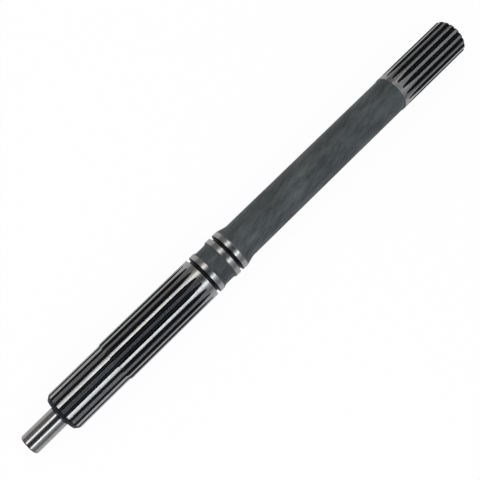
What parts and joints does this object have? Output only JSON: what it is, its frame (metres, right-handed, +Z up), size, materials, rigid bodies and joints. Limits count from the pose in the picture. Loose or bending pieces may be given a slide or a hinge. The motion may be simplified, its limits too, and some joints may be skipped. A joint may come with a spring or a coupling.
{
  "type": "splined shaft",
  "caption": "Long steel transmission shaft with an involute spline at each end, a pilot journal, two sealing-ring grooves and a plain body.",
  "frame": {"origin": "on the shaft's axis, at the shoulder where the pilot journal meets the long spline", "axes": "+X along the shaft towards the drive spline, +Z up as the shaft lies on a bench, with a tooth of each spline on top"},
  "size_m": [0.4054, 0.031, 0.031],
  "materials": {
    "steel": "ground bright on the pilot, the spline crests and the lands; dark blue-grey heat-treated finish on the body, the waist, the grooves and the tooth spaces"
  },
  "bodies": {
    "root": {"splined_shaft": "steel"}
  },
  "joints": []
}
